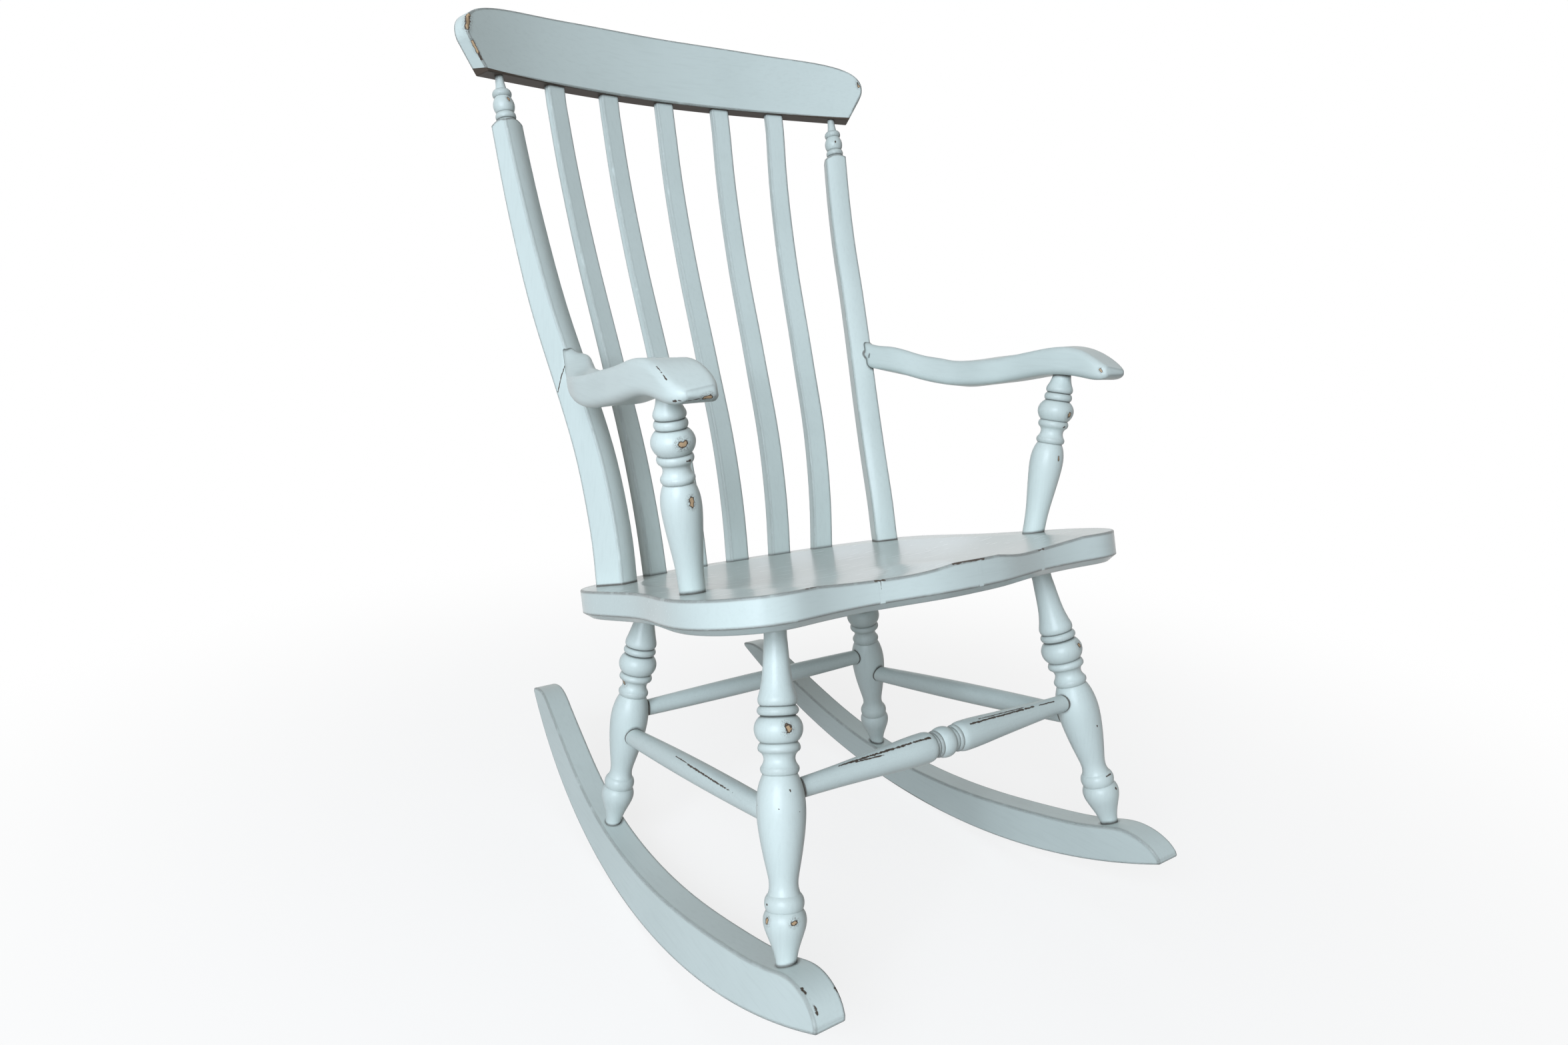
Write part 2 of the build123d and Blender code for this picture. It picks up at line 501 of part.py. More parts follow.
crest_ring = Cylinder(CREST_FRONT_R + CREST_THICK, REACH) - Cylinder(CREST_FRONT_R, REACH)
crest_end = max(x for x, z in CREST_TOP_HALF)
crest_near = sqrt(CREST_FRONT_R**2 - crest_end**2) - CREST_THICK
crest = Pos(0, CREST_CENTRE_Y, CREST_BOTTOM[1][1]) * crest_ring
crest = crest & loft([crest_outline(crest_near), crest_outline(CREST_FRONT_R + 2 * CREST_THICK)], ruled=True)
crest = fillet(crest.edges(), CREST_EDGE_R)

# ------------------------------------------------------------------ arm posts
arm_post_place = on_axis(ARM_POST_FOOT, ARM_POST_LEAN)
arm_post = arm_post_place * turned(ARM_POST_BEADS, (ARM_POST_TENON_R, -ARM_POST_SINK),
                                   (ARM_TENON_R, ARM_POST_BEADS[-1][-1][0] + 1)) - seat_blank - arm_blank
arm_post = arm_post + arm_post_place * rod(ARM_POST_TENON_R, -ARM_POST_TENON_DEPTH, ARM_POST_SINK)
arm_post = arm_post + arm_post_place * rod(ARM_TENON_R, ARM_TENON_TOP - ARM_TENON_LENGTH, ARM_TENON_TOP)
arm = arm_blank - arm_post_place * rod(ARM_TENON_R + GLUE_GAP, ARM_TENON_TOP - 2 * ARM_TENON_LENGTH,
                                       ARM_TENON_TOP + END_GAP)


# ------------------------------------------------------------------ holes in the seat and the crest rail
def leg_socket(foot, lean):
    top = leg_top(foot, lean)
    start = top - LEG_TENON_DEPTH
    return on_axis(foot, lean) * rod(LEG_TENON_R + GLUE_GAP, start, top + LEG_TENON_DEPTH + END_GAP)


arm_post_socket = rod(ARM_POST_TENON_R + GLUE_GAP, -ARM_POST_TENON_DEPTH - END_GAP, ARM_POST_TENON_DEPTH)
post_socket = rod(POST_TENON_R + GLUE_GAP, -POST_TENON_DEPTH - END_GAP, POST_TENON_DEPTH)
seat = seat - leg_socket(FRONT_FOOT, FRONT_LEAN) - leg_socket(REAR_FOOT, REAR_LEAN)
seat = seat - arm_post_place * arm_post_socket - Pos(*post_foot) * post_socket
dowels = []
for y in DOWEL_Y:
    for x in (0.0, SEAT_SEAM):
        place = Pos(x, y, DOWEL_Z) * Rot(0, 90, 0)
        dowels.append(place * Cylinder(DOWEL_R, DOWEL_LENGTH))
        seat = seat - place * Cylinder(DOWEL_R + GLUE_GAP, DOWEL_LENGTH + 2 * END_GAP)
    dowels.append(mirrored(dowels[-1]))
for slat, low_mortise, high_mortise in slats:
    seat = seat - low_mortise
    crest = crest - high_mortise - mirrored(high_mortise)
pin_hole = finial_place * rod(PIN_R + GLUE_GAP, FINIAL_BEADS[-1][0][0], PIN_TOP + END_GAP)
crest = crest - pin_hole - mirrored(pin_hole)
outer_cut = Pos(SEAT_SEAM + REACH, 0, 0) * Box(2 * REACH, 2 * REACH, REACH)
outer_board, inner_board = seat & outer_cut, seat - outer_cut

# ------------------------------------------------------------------ nodes
nodes = {
    "crest_rail": [crest],
    "seat_dowels": dowels,
    "front_stretcher": [front_stretcher],
    "rear_stretcher": [rear_stretcher],
    "rocker_screws": [front_joint[0], rear_joint[0], mirrored(front_joint[0]), mirrored(rear_joint[0])],
    "rocker_plugs": [front_joint[1], rear_joint[1], mirrored(front_joint[1]), mirrored(rear_joint[1])],
}
for number, board in enumerate((mirrored(outer_board), mirrored(inner_board), inner_board, outer_board), 1):
    nodes[f"seat_board_{number}"] = [board]
for number, (slat, low_mortise, high_mortise) in enumerate(slats):
    nodes[f"back_slat_{3 + number}"] = [slat]
    nodes[f"back_slat_{3 - number}"] = [mirrored(slat)]
for name, right in (("front_leg", front_leg), ("rear_leg", rear_leg), ("side_stretcher", side_stretcher),
                    ("rocker", rocker), ("arm_post", arm_post), ("arm", arm), ("back_post", back_post)):
    nodes[f"{name}_right"] = [right]
    nodes[f"{name}_left"] = [mirrored(right)]

# ------------------------------------------------------------------ rest tilt
# the chair settles with its centre of mass straight below the centre of the rockers' arc
solids = [solid for group in nodes.values() for part in group for solid in part.solids()]
mass = sum(solid.volume for solid in solids)
centre_y = sum(solid.volume * solid.center(CenterOf.MASS).Y for solid in solids) / mass
centre_z = sum(solid.volume * solid.center(CenterOf.MASS).Z for solid in solids) / mass
tilt = atan2(centre_y - ARC_Y, ARC_Z - centre_z)
floor = ARC_Z * cos(tilt) - ARC_Y * sin(tilt) - ARC_R
lean_back = Pos(0, 0, -floor) * Rot(-degrees(tilt), 0, 0)
tilted = {name: [lean_back * part for part in group] for name, group in nodes.items()}
boxes = [part.bounding_box() for group in tilted.values() for part in group]
middle_y = (min(box.min.Y for box in boxes) + max(box.max.Y for box in boxes)) / 2

os.makedirs("parts", exist_ok=True)
for name, group in tilted.items():
    placed = [Pos(0, -middle_y, 0) * solid for part in group for solid in part.solids()]
    export_step(placed[0] if len(placed) == 1 else Compound(children=placed), f"parts/{name}.step")
print(f"rest tilt {degrees(tilt):.2f} degrees, floor {floor:.1f}, middle y {middle_y:.1f}")
depth = max(box.max.Y for box in boxes) - middle_y
print(f"height {max(box.max.Z for box in boxes):.1f}, depth {depth:.1f} each way")
print(f"width {max(box.max.X for box in boxes) * 2:.1f}, {len(nodes)} nodes, {len(solids)} solids")
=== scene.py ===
import bmesh
import bpy
from mathutils import Matrix, Vector

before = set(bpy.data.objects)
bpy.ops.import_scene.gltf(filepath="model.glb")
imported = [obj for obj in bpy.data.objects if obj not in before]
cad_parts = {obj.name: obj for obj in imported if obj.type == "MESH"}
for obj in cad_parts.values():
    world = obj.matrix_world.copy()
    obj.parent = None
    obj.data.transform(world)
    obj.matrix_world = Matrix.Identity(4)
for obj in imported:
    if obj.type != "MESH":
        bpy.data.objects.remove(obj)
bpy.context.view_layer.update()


# Crest rail: one board, sawn to a curve in plan, with rounded upper corners and slanted ends.
# Beech, brushed with pale green-grey satin paint over brown, then rubbed through on the arrises
# and sealed. The finish of the whole chair is set up here and used by every piece after it.
PAINT = (0.590, 0.655, 0.632, 1.0)
UNDERCOAT = (0.060, 0.043, 0.032, 1.0)
# the dark grey below tints brush streaks, and fills the grooves as glaze and the creases and joints as
# painted shade
GLAZE_AND_SHADE = (0.062, 0.064, 0.058, 1.0)
BARE_WOOD = (0.450, 0.305, 0.180, 1.0)
GROOVE_REACH = 0.006
GROOVE_GLAZE_AND_SHADE = 0.85
EDGE_WEAR = 0.85
PATCHY_BORDER = 0.22
BRISTLE_TINT = 0.04
HAIR_TINT = 0.85
BARE_ROUGHNESS = 0.25
BRISTLE_ROUGHNESS = 0.08
BRISTLE_RELIEF = 0.12
FILM_RELIEF = 0.15
CHIP_RAGGED = 1.5
RUB_RAGGED = 2.0
PAINTED_SHADE_BORDER = 0.0006
CREST_BOTTOM = 1.0434
ALONG_X = (0.05, 1.0, 1.0)


def place(tree, kind, inputs, **settings):
    """A shader node with its settings; each input is a value or another node's output."""
    node = tree.nodes.new("ShaderNode" + kind)
    for name, value in settings.items():
        setattr(node, name, value)
    for socket, value in inputs.items():
        if isinstance(value, bpy.types.NodeSocket):
            tree.links.new(value, node.inputs[socket])
        else:
            node.inputs[socket].default_value = value
    return node


def shader_group(name, inputs, outputs):
    """An empty node group with named sockets, and its input and output nodes."""
    tree = bpy.data.node_groups.new(name, "ShaderNodeTree")
    for label, kind in inputs:
        tree.interface.new_socket(label, in_out="INPUT", socket_type="NodeSocket" + kind)
    for label, kind in outputs:
        tree.interface.new_socket(label, in_out="OUTPUT", socket_type="NodeSocket" + kind)
    return tree, tree.nodes.new("NodeGroupInput").outputs, tree.nodes.new("NodeGroupOutput").inputs


def ramp(tree, value, low, high, start=0.0):
    """start below low, 1 above high, and smooth between them."""
    node = place(tree, "MapRange", {0: value, 1: low, 2: high, 3: start, 4: 1.0},
                 interpolation_type="SMOOTHSTEP")
    return node.outputs[0]


def blend_colour(tree, share, under, over):
    node = place(tree, "Mix", {0: share, 6: under, 7: over}, data_type="RGBA")
    return node.outputs[2]


def math(tree, operation, *values):
    return place(tree, "Math", dict(enumerate(values)), operation=operation).outputs[0]


def vector_math(tree, operation, output, *values):
    return place(tree, "VectorMath", dict(enumerate(values)), operation=operation).outputs[output]


def noise(tree, vector, scale, detail, **more):
    return place(tree, "TexNoise", {"Vector": vector, "Scale": scale, "Detail": detail, **more}).outputs[0]


def strongest(tree, values):
    """The highest of several masks."""
    total = values[0]
    for value in values[1:]:
        total = math(tree, "MAXIMUM", total, value)
    return total


# a mark in the paint: everything near the line from start to end, with a ragged border
mark_group, given, result = shader_group(
    "mark in the paint",
    [("Vector", "Vector"), ("Start", "Vector"), ("End", "Vector"), ("Radius", "Float"),
     ("Ragged", "Float")],
    [("Mask", "Float"), ("Hairs", "Float")])
run = vector_math(mark_group, "SUBTRACT", 0, given["End"], given["Start"])
reach = vector_math(mark_group, "SUBTRACT", 0, given["Vector"], given["Start"])
along = vector_math(mark_group, "DOT_PRODUCT", 1, reach, run)
length = vector_math(mark_group, "DOT_PRODUCT", 1, run, run)
share = math(mark_group, "MAXIMUM", math(mark_group, "DIVIDE", along, length), 0.0)
share = math(mark_group, "MINIMUM", share, 1.0)
foot = place(mark_group, "VectorMath", {0: run, 3: share}, operation="SCALE").outputs[0]
gap = vector_math(mark_group, "DISTANCE", 1, reach, foot)
speckle = noise(mark_group, given["Vector"], 300.0, 5.0)
uneven = math(mark_group, "MULTIPLY", math(mark_group, "SUBTRACT", speckle, 0.5), given["Ragged"])
near = math(mark_group, "SUBTRACT", 1.0, math(mark_group, "DIVIDE", gap, given["Radius"]))
mark_group.links.new(math(mark_group, "ADD", near, uneven), result["Mask"])
# fine dark scratches in the paint around it
scratch = noise(mark_group, given["Vector"], 700.0, 2.0, Distortion=2.5)
around = ramp(mark_group, near, low=-1.5, high=0.0)
hair = ramp(mark_group, scratch, low=0.52, high=0.60)
mark_group.links.new(math(mark_group, "MULTIPLY", around, hair), result["Hairs"])

# the paint itself, rubbed on outer edges, with glaze in the grooves and painted shade in creases and joints
# between parts, and chips in it
paint_group, given, result = shader_group(
    "rubbed satin paint",
    [("Vector", "Vector"), ("Brush", "Vector"), ("Paint", "Color"), ("Edge Reach", "Float"),
     ("Edge Wear", "Float"), ("Groove Glaze And Shade", "Float"), ("Chips", "Float"), ("Hairs", "Float"),
     ("Rubs And Shade", "Float"), ("Polish", "Float")],
    [("Color", "Color"), ("Roughness", "Float"), ("Height", "Float")])
cloud = noise(paint_group, given["Vector"], 7.0, 4.0)
patch = noise(paint_group, given["Vector"], 38.0, 5.0, Roughness=0.62)
bristle = noise(paint_group, given["Brush"], 330.0, 3.0)
outer = place(paint_group, "AmbientOcclusion", {"Distance": given["Edge Reach"]}, samples=6, inside=True)
inner = place(paint_group, "AmbientOcclusion", {"Distance": GROOVE_REACH}, samples=6)
sharp = math(paint_group, "SUBTRACT", 1.0, outer.outputs["AO"])
deep = math(paint_group, "SUBTRACT", 1.0, inner.outputs["AO"])
patchy = math(paint_group, "MULTIPLY", math(paint_group, "SUBTRACT", patch, 0.5), PATCHY_BORDER)
worn = ramp(paint_group, math(paint_group, "ADD", sharp, patchy), low=0.10, high=0.16)
worn = math(paint_group, "MULTIPLY", worn, given["Edge Wear"])
# glaze and painted shade: where the occlusion test finds grooves, creases and joints between parts, the
# colour goes dark grey
glaze_and_shade = math(paint_group, "MULTIPLY", ramp(paint_group, deep, low=0.22, high=0.44), given["Groove Glaze And Shade"])
chip_rim = ramp(paint_group, given["Chips"], low=0.05, high=0.25)
chip_core = ramp(paint_group, given["Chips"], low=0.42, high=0.58)
# this input carries rubs through the paint and also painted shade, such as the dark underside of the crest
# rail
rubbed_and_shaded = ramp(paint_group, given["Rubs And Shade"], low=0.15, high=0.55)
dull = place(paint_group, "HueSaturation",
             {"Value": 0.95, "Saturation": 1.03, "Color": given["Paint"]}).outputs[0]
brushed = math(paint_group, "MULTIPLY", ramp(paint_group, bristle, low=0.45, high=0.75), BRISTLE_TINT)
scratched = math(paint_group, "MULTIPLY", given["Hairs"], HAIR_TINT)
tone = blend_colour(paint_group, ramp(paint_group, cloud, low=0.35, high=0.70), given["Paint"], dull)
for layer, colour in ((brushed, GLAZE_AND_SHADE), (glaze_and_shade, GLAZE_AND_SHADE), (worn, UNDERCOAT), (rubbed_and_shaded, UNDERCOAT),
                      (scratched, UNDERCOAT), (chip_rim, UNDERCOAT), (chip_core, BARE_WOOD)):
    tone = blend_colour(paint_group, layer, tone, colour)
paint_group.links.new(tone, result["Color"])
gone = strongest(paint_group, [worn, rubbed_and_shaded, chip_rim])
dry = math(paint_group, "MULTIPLY_ADD", gone, BARE_ROUGHNESS, given["Polish"])
paint_group.links.new(math(paint_group, "MULTIPLY_ADD", bristle, BRISTLE_ROUGHNESS, dry), result["Roughness"])
relief = math(paint_group, "MULTIPLY", bristle, BRISTLE_RELIEF)
film = math(paint_group, "MULTIPLY_ADD", patch, FILM_RELIEF, relief)
paint_group.links.new(math(paint_group, "SUBTRACT", film, gone), result["Height"])


def place_marks(tree, spot, marks, ragged):
    """One mark group for each start, end and radius in metres."""
    return [place(tree, "Group", {"Vector": spot, "Start": start, "End": end, "Radius": radius,
                                  "Ragged": ragged}, node_tree=mark_group)
            for start, end, radius in marks]


def finish_pieces(name, nodes, brush, chips=(), rubs=(), wear=EDGE_WEAR, edge=0.0032, polish=0.42,
                  gloss=0.3, soft=0.0, painted_shade_below=None):
    """Paints CAD nodes: brush squeezes the bristle marks along the piece, each chip or rub is a
    start, an end and a radius, soft rounds the paint film over the arrises, and the last argument
    is the height under which the piece is coloured dark brown as painted shade."""
    material = bpy.data.materials.new(name)
    material.use_nodes = True
    tree = material.node_tree
    spot = place(tree, "TexCoord", {}).outputs["Object"]
    streak = place(tree, "Mapping", {"Vector": spot, "Scale": brush}).outputs[0]
    paint = place(tree, "Group", {"Vector": spot, "Brush": streak, "Paint": PAINT, "Edge Reach": edge,
                                  "Edge Wear": wear, "Groove Glaze And Shade": GROOVE_GLAZE_AND_SHADE, "Polish": polish},
                  node_tree=paint_group)
    if chips:
        placed = place_marks(tree, spot, chips, CHIP_RAGGED)
        tree.links.new(strongest(tree, [mark.outputs["Mask"] for mark in placed]), paint.inputs["Chips"])
        tree.links.new(strongest(tree, [mark.outputs["Hairs"] for mark in placed]), paint.inputs["Hairs"])
    bare_and_shaded = [mark.outputs["Mask"] for mark in place_marks(tree, spot, rubs, RUB_RAGGED)]
    # painted shade: below the given height the piece is coloured the dark brown of the undercoat, standing in
    # for the shadow under it
    if painted_shade_below:
        height = place(tree, "SeparateXYZ", {0: spot}).outputs[2]
        bare_and_shaded.append(ramp(tree, height, low=painted_shade_below + PAINTED_SHADE_BORDER, high=painted_shade_below - PAINTED_SHADE_BORDER))
    if bare_and_shaded:
        tree.links.new(strongest(tree, bare_and_shaded), paint.inputs["Rubs And Shade"])
    bump = place(tree, "Bump", {"Height": paint.outputs["Height"], "Distance": 0.0003, "Strength": 0.5})
    if soft:
        rounded = place(tree, "Bevel", {"Radius": soft}, samples=8)
        tree.links.new(rounded.outputs[0], bump.inputs["Normal"])
    surface = tree.nodes["Principled BSDF"]
    surface.inputs["Specular IOR Level"].default_value = gloss
    surface.inputs["Coat Weight"].default_value = 0.16
    surface.inputs["Coat Roughness"].default_value = 0.20
    tree.links.new(paint.outputs["Color"], surface.inputs["Base Color"])
    tree.links.new(paint.outputs["Roughness"], surface.inputs["Roughness"])
    tree.links.new(bump.outputs[0], surface.inputs["Normal"])
    for node in nodes:
        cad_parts[node].material_slots[0].material = material
    return tree, paint


# the crest rail's underside is coloured dark brown: painted shade for the shadow under the rail
finish_pieces("crest rail paint", ["crest_rail"], ALONG_X, painted_shade_below=CREST_BOTTOM,
              chips=[((-0.3110, 0.3028, 1.1036), (-0.3146, 0.2963, 1.0880), 0.0042),
                     ((-0.3091, 0.2956, 1.0710), (-0.3030, 0.2960, 1.0600), 0.0026),
                     ((0.3113, 0.2990, 1.0923), (0.3080, 0.2990, 1.1020), 0.0024)],
              rubs=[((-0.3060, 0.2960, 1.0650), (-0.2989, 0.2966, 1.0531), 0.0026),
                    ((0.3190, 0.3010, 1.0760), (0.3185, 0.3010, 1.0860), 0.0020)])


# Back slats: five laths, band-sawn to an S curve and thinner towards the top, tenoned into the
# seat and the crest rail. Painted like the rest, with the arrises lightly rubbed.
SLATS = 5
ALONG_Z = (1.0, 1.0, 0.05)
finish_pieces("slat paint", [f"back_slat_{number + 1}" for number in range(SLATS)], ALONG_Z, wear=0.75)


# Back posts: square in section and sawn to a curve, with a turned top whose pin stands in the
# crest rail. Glue squeezed out of the left arm's joint has dried brown in a hairline below it.
finish_pieces("back post paint", ["back_post_left", "back_post_right"], ALONG_Z, wear=0.75,
              chips=[((-0.2664, 0.2946, 1.0092), (-0.2664, 0.2946, 1.0072), 0.0024)],
              rubs=[((0.2638, 0.2935, 1.0050), (0.2638, 0.2935, 1.0036), 0.0018),
                    ((-0.2490, 0.1620, 0.6900), (-0.2558, 0.1719, 0.6597), 0.0013),
                    ((-0.2558, 0.1719, 0.6597), (-0.2597, 0.1755, 0.6398), 0.0010)])


# Arms: carved from thick board, S-shaped from the side and curved in plan, ending in a scrolled
# hand rest. The rear end is cut to the corner of the back post, with a tenon glued into it.
ALONG_Y = (1.0, 0.05, 1.0)
finish_pieces("arm paint", ["arm_left", "arm_right"], ALONG_Y, wear=0.3, soft=0.011,
              chips=[((-0.2810, -0.2618, 0.6775), (-0.2870, -0.2622, 0.6764), 0.0030),
                     ((0.2699, -0.2560, 0.6822), (0.2690, -0.2540, 0.6850), 0.0018)],
              rubs=[((-0.3129, -0.2175, 0.7027), (-0.3145, -0.2405, 0.6925), 0.0010),
                    ((-0.2870, -0.2622, 0.6764), (-0.3110, -0.2560, 0.6750), 0.0012),
                    ((-0.3132, -0.2506, 0.6742), (-0.3120, -0.2530, 0.6744), 0.0018)])


# Arm posts: turned, raked forwards, with a ball, rings and a long vase below them. They are
# tenoned into the seat and the arm. The ball and the vase were knocked and chipped in front.
finish_pieces("arm post paint", ["arm_post_left", "arm_post_right"], ALONG_Z, wear=0.5,
              chips=[((-0.2815, -0.2056, 0.6258), (-0.2775, -0.2058, 0.6264), 0.0042),
                     ((-0.2689, -0.2030, 0.5695), (-0.2689, -0.2034, 0.5645), 0.0034),
                     ((0.2791, -0.2055, 0.6235), (0.2791, -0.2055, 0.6223), 0.0036),
                     ((0.2688, -0.2032, 0.5690), (0.2688, -0.2034, 0.5650), 0.0012)],
              rubs=[((-0.2731, -0.2017, 0.6085), (-0.2690, -0.2010, 0.6085), 0.0018),
                    ((0.2766, -0.2018, 0.6071), (0.2745, -0.2016, 0.6071), 0.0016),
                    ((0.2688, -0.2032, 0.5690), (0.2686, -0.2034, 0.5640), 0.0018)])


# Seat: four thick boards glued edge to edge, hollowed to a saddle, bevelled underneath. The front
# edge is rubbed brown where legs pass over it, and one glue seam shows as a hair crack.
SEAT_BOARDS = 4
SIDE_SEAM = 0.117
SEAM_CLEAR = 0.0022
SEAM_WORN = 0.0036
tree, paint = finish_pieces(
    "seat paint", [f"seat_board_{number + 1}" for number in range(SEAT_BOARDS)], ALONG_X,
    polish=0.22, gloss=0.27,
    rubs=[((-0.0345, -0.3328, 0.5025), (0.0067, -0.3350, 0.5030), 0.0024),
          ((-0.2080, -0.3160, 0.4984), (-0.1550, -0.3125, 0.4976), 0.0016),
          ((-0.1225, -0.3148, 0.4924), (-0.1125, -0.3172, 0.4928), 0.0015),
          ((0.1125, -0.3172, 0.4928), (0.1225, -0.3148, 0.4924), 0.0015),
          ((-SIDE_SEAM, -0.3167, 0.4917), (-SIDE_SEAM, -0.3210, 0.4760), 0.0005)])
# the seams, in the middle and at each side, aren't arrises, so nothing is rubbed beside them
across = place(tree, "SeparateXYZ", {0: place(tree, "TexCoord", {}).outputs["Object"]}).outputs[0]
from_middle = math(tree, "ABSOLUTE", across)
from_side = math(tree, "ABSOLUTE", math(tree, "SUBTRACT", from_middle, SIDE_SEAM))
from_seam = math(tree, "MINIMUM", from_side, from_middle)
rubbable = math(tree, "MULTIPLY", ramp(tree, from_seam, low=SEAM_CLEAR, high=SEAM_WORN), EDGE_WEAR)
tree.links.new(rubbable, paint.inputs["Edge Wear"])


# Legs: four turned and splayed legs with a ball, rings and a long bulb, an ankle ring and a foot,
# tenoned into the seat and the rockers. Knocks went through the paint on balls, rings and feet.
finish_pieces("leg paint", ["front_leg_left", "front_leg_right", "rear_leg_left", "rear_leg_right"],
              ALONG_Z, wear=0.5,
              chips=[((-0.2159, -0.3030, 0.3530), (-0.2159, -0.3036, 0.3502), 0.0044),
                     ((-0.2614, -0.3381, 0.1722), (-0.2614, -0.3383, 0.1708), 0.0030),
                     ((-0.2436, -0.3585, 0.1742), (-0.2412, -0.3590, 0.1754), 0.0030),
                     ((0.2187, -0.3021, 0.3529), (0.2196, -0.3019, 0.3529), 0.0034),
                     ((-0.2165, 0.0893, 0.2580), (-0.2152, 0.0893, 0.2565), 0.0040)],
              rubs=[((-0.2245, -0.3204, 0.2945), (-0.2242, -0.3206, 0.2925), 0.0014),
                    ((-0.2575, -0.3318, 0.1849), (-0.2535, -0.3400, 0.1851), 0.0015),
                    ((0.2341, -0.3499, 0.1921), (0.2420, -0.3491, 0.1924), 0.0014),
                    ((0.2444, -0.3578, 0.1770), (0.2450, -0.3578, 0.1750), 0.0024),
                    ((0.2265, -0.3344, 0.2560), (0.2265, -0.3344, 0.2545), 0.0014),
                    ((-0.2479, -0.2976, 0.2737), (-0.2390, -0.3225, 0.2789), 0.0005),
                    ((-0.2390, -0.3225, 0.2789), (-0.2180, -0.3292, 0.2729), 0.0005)])


# Stretchers: turned rails between the legs, the front one with rings and a short bulb in its
# middle. Feet have worn long brown streaks along the upper side of the front and left rails.
finish_pieces("stretcher paint", ["front_stretcher", "rear_stretcher"], ALONG_X,
              rubs=[((-0.1500, -0.3020, 0.2918), (-0.0297, -0.3087, 0.2952), 0.0020),
                    ((-0.1300, -0.3050, 0.2918), (-0.0950, -0.3090, 0.2925), 0.0012),
                    ((0.0330, -0.3080, 0.2962), (0.1400, -0.3060, 0.2915), 0.0018),
                    ((0.0500, -0.3040, 0.2960), (0.1250, -0.3035, 0.2928), 0.0012),
                    ((0.1500, -0.3060, 0.2905), (0.1760, -0.3061, 0.2895), 0.0012)])
finish_pieces("side stretcher paint", ["side_stretcher_left", "side_stretcher_right"], ALONG_Y,
              rubs=[((-0.2280, -0.1150, 0.2305), (-0.2309, -0.1646, 0.2390), 0.0015),
                    ((-0.2309, -0.1646, 0.2390), (-0.2350, -0.2350, 0.2510), 0.0014),
                    ((-0.2255, -0.0800, 0.2250), (-0.2275, -0.1150, 0.2310), 0.0009)])


# Rockers: two long sawn runners, bent up behind and rounded at the nose, leaning out like the
# legs that stand in them. The upper arrises are rubbed brown and the noses are scuffed.
finish_pieces("rocker paint", ["rocker_left", "rocker_right"], ALONG_Y, edge=0.0030,
              rubs=[((-0.2614, -0.4000, 0.1370), (-0.2614, -0.4250, 0.1280), 0.0024),
                    ((-0.2320, -0.4130, 0.1340), (-0.2300, -0.4260, 0.1270), 0.0026)])


# Plugs, screws and dowels: turned wooden plugs painted over the steel screws that hold the legs
# in the rockers, and beech dowels hidden across the seams of the seat.
EVEN = (1.0, 1.0, 1.0)
finish_pieces("plug paint", ["rocker_plugs"], EVEN, wear=0.4)


def leave_bare(name, node, stretch, scale, detail, light, dark, roughness, metallic=0.0):
    """An unpainted material on one CAD node: two colours, mixed by a noise drawn out by stretch."""
    material = bpy.data.materials.new(name)
    material.use_nodes = True
    tree = material.node_tree
    spot = place(tree, "TexCoord", {}).outputs["Object"]
    drawn = place(tree, "Mapping", {"Vector": spot, "Scale": stretch}).outputs[0]
    surface = tree.nodes["Principled BSDF"]
    tree.links.new(blend_colour(tree, noise(tree, drawn, scale, detail), light, dark),
                   surface.inputs["Base Color"])
    surface.inputs["Metallic"].default_value = metallic
    surface.inputs["Roughness"].default_value = roughness
    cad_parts[node].material_slots[0].material = material


leave_bare("dowel beech", "seat_dowels", ALONG_X, 500.0, 4.0,
           light=(0.50, 0.33, 0.19, 1.0), dark=(0.36, 0.22, 0.11, 1.0), roughness=0.65)
leave_bare("screw steel", "rocker_screws", EVEN, 900.0, 3.0,
           light=(0.56, 0.56, 0.55, 1.0), dark=(0.36, 0.35, 0.33, 1.0), roughness=0.38, metallic=1.0)


# Floor and surroundings: a plain pale floor that fades into a white surround, a large soft window
# lamp on the left, weak ones above and behind for the far sides, and a dim one that the seat mirrors.
WHITE = (1.0, 1.0, 1.0, 1.0)
FLOOR_SEEN = (0.86, 0.86, 0.86, 1.0)
FLOOR_BOUNCE = (0.16, 0.15, 0.14, 1.0)
FLOOR_RADIUS = 30.0
LAMP_TARGET = Vector((0.0, 0.0, 0.5))


def seen_rays(tree):
    """1 for the rays that show the surroundings, 0 for those that only carry light."""
    path = place(tree, "LightPath", {})
    seen = math(tree, "MAXIMUM", path.outputs["Is Camera Ray"], path.outputs["Is Glossy Ray"])
    return math(tree, "MAXIMUM", seen, path.outputs["Is Transmission Ray"])


mesh = bpy.data.meshes.new("floor")
form = bmesh.new()
bmesh.ops.create_circle(form, cap_ends=True, segments=96, radius=FLOOR_RADIUS)
form.to_mesh(mesh)
form.free()
floor = bpy.data.objects.new("floor", mesh)
bpy.context.scene.collection.objects.link(floor)
floor_paint = bpy.data.materials.new("pale floor")
floor_paint.use_nodes = True
tree = floor_paint.node_tree
distance = vector_math(tree, "LENGTH", 1, place(tree, "TexCoord", {}).outputs["Object"])
far = ramp(tree, distance, low=0.3, high=1.7, start=0.80)
seen = seen_rays(tree)
white = place(tree, "Emission", {"Color": WHITE, "Strength": 1.0})
surface = tree.nodes["Principled BSDF"]
tree.links.new(blend_colour(tree, seen, FLOOR_BOUNCE, FLOOR_SEEN), surface.inputs["Base Color"])
surface.inputs["Roughness"].default_value = 0.9
fade = place(tree, "MixShader",
             {0: math(tree, "MULTIPLY", far, seen), 1: surface.outputs[0], 2: white.outputs[0]})
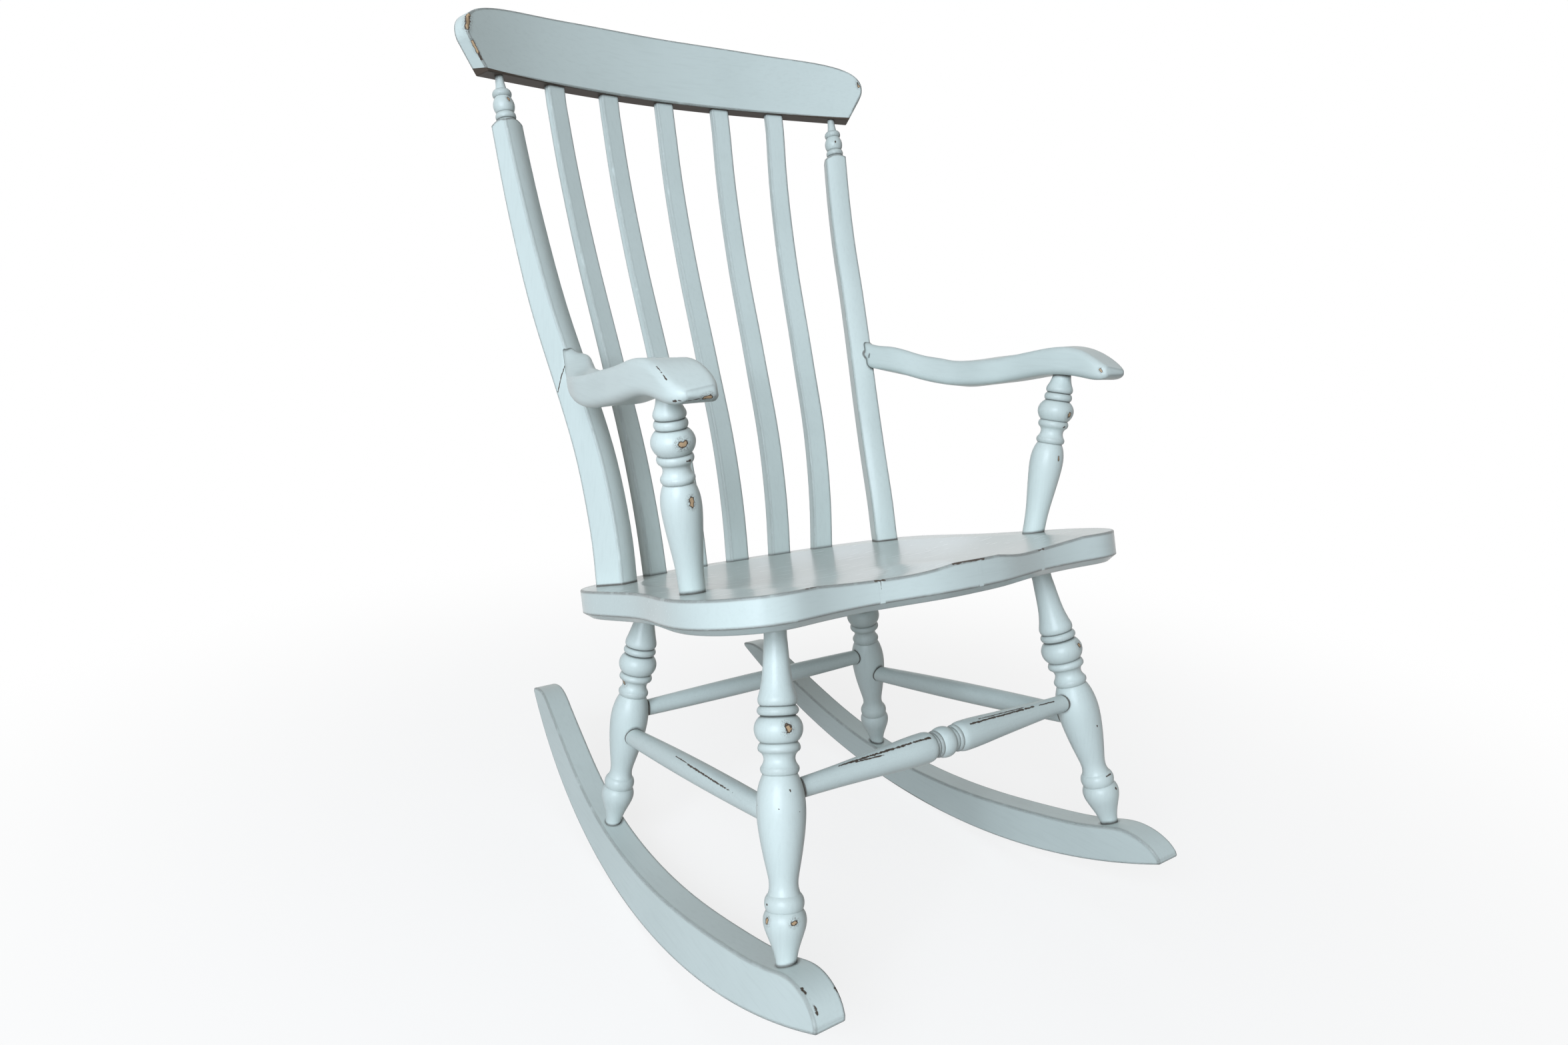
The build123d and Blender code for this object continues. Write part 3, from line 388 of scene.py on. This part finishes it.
tree.links.new(fade.outputs[0], tree.nodes["Material Output"].inputs["Surface"])
mesh.materials.append(floor_paint)

world = bpy.data.worlds.new("surround")
world.use_nodes = True
bpy.context.scene.world = world
tree = world.node_tree
room = place(tree, "Background", {"Color": (1.0, 0.97, 0.92, 1.0), "Strength": 0.13})
backdrop = place(tree, "Background", {"Color": WHITE, "Strength": 1.0})
both = place(tree, "MixShader", {0: seen_rays(tree), 1: room.outputs[0], 2: backdrop.outputs[0]})
tree.links.new(both.outputs[0], tree.nodes["World Output"].inputs["Surface"])

for name, spot, size, power, colour, mirrored in (
        ("window lamp", (-2.5, -2.0, 1.75), 1.9, 148.0, (0.80, 0.90, 1.0), True),
        ("ceiling lamp", (-0.4, -0.6, 3.4), 1.8, 3.0, (1.0, 0.97, 0.93), True),
        ("rear fill lamp", (2.6, 3.0, 1.1), 2.0, 42.0, (0.95, 0.98, 1.0), False),
        ("rear window lamp", (2.4, 3.15, 0.9), 1.0, 1.6, (0.78, 0.87, 1.0), True)):
    lamp = bpy.data.lights.new(name, "AREA")
    lamp.shape = "SQUARE"
    lamp.size = size
    lamp.energy = power
    lamp.color = colour
    holder = bpy.data.objects.new(name, lamp)
    holder.visible_glossy = mirrored
    facing = (LAMP_TARGET - Vector(spot)).to_track_quat("-Z", "Y").to_matrix().to_4x4()
    holder.matrix_world = Matrix.Translation(spot) @ facing
    bpy.context.scene.collection.objects.link(holder)

view = bpy.data.cameras.new("camera")
view.sensor_width = 36.0
view.lens = 22.04
view.shift_x = 0.0058
view.shift_y = 0.0025
camera = bpy.data.objects.new("camera", view)
camera_place = Vector((-0.71432, -1.02348, 0.77342))
right = Vector((0.83517, -0.54975, 0.01602))
up = Vector((0.11885, 0.20883, 0.97071))
forward = Vector((0.53699, 0.80880, -0.23974))
turn = Matrix((right, up, -forward)).transposed().to_4x4()
camera.matrix_world = Matrix.Translation(camera_place) @ turn
bpy.context.scene.collection.objects.link(camera)
bpy.context.scene.camera = camera
bpy.context.scene.view_settings.view_transform = "Standard"
